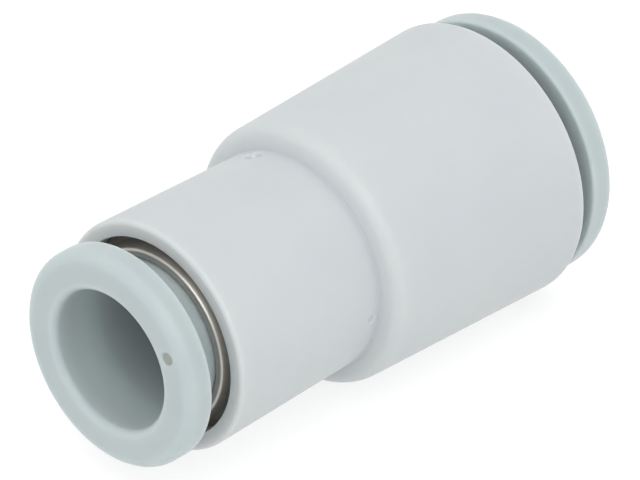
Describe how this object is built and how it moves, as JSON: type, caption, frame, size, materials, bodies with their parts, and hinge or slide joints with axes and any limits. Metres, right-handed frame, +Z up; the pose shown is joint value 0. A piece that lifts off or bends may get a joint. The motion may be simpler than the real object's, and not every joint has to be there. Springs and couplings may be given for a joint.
{
  "type": "push fit coupling",
  "caption": "Straight push fit coupling that joins two air tubes of different diameter, with a release button, a grip and a seal at each end.",
  "frame": {"origin": "middle of the overall length, on the tube axis", "axes": "+X along the tube axis towards the larger end, +Z up as the coupling lies on its side"},
  "size_m": [0.036, 0.0184, 0.0184],
  "materials": {
    "body_plastic": "pale grey-white moulded PBT, fine satin",
    "button_acetal": "natural acetal, slightly translucent, soft sheen",
    "collet_acetal": "natural acetal",
    "guide_steel": "bright formed stainless steel",
    "chuck_steel": "stamped stainless steel",
    "seal_rubber": "black nitrile rubber"
  },
  "bodies": {
    "housing": {"body": "body_plastic", "small_guide": "guide_steel", "large_guide": "guide_steel", "small_seal": "seal_rubber", "large_seal": "seal_rubber"},
    "small_button": {"small_release_button": "button_acetal"},
    "small_grip": {"small_collet": "collet_acetal", "small_chuck": "chuck_steel"},
    "large_button": {"large_release_button": "button_acetal"},
    "large_grip": {"large_collet": "collet_acetal", "large_chuck": "chuck_steel"}
  },
  "joints": [
    {"name": "small_button_press", "type": "slide", "parent": "housing", "child": "small_button", "axis": [1, 0, 0], "range_m": [0, 0.0016], "stiffness_N_per_m": 900, "springref_m": -0.0005},
    {"name": "small_grip_slide", "type": "slide", "parent": "housing", "child": "small_grip", "axis": [1, 0, 0], "range_m": [0, 0.0012]},
    {"name": "large_button_press", "type": "slide", "parent": "housing", "child": "large_button", "axis": [-1, 0, 0], "range_m": [0, 0.001], "stiffness_N_per_m": 900, "springref_m": -0.0005},
    {"name": "large_grip_slide", "type": "slide", "parent": "housing", "child": "large_grip", "axis": [-1, 0, 0], "range_m": [0, 0.00075]}
  ],
  "couplings": [
    {"joint": "small_grip_slide", "follows": "small_button_press", "ratio": 0.75},
    {"joint": "large_grip_slide", "follows": "large_button_press", "ratio": 0.75}
  ]
}
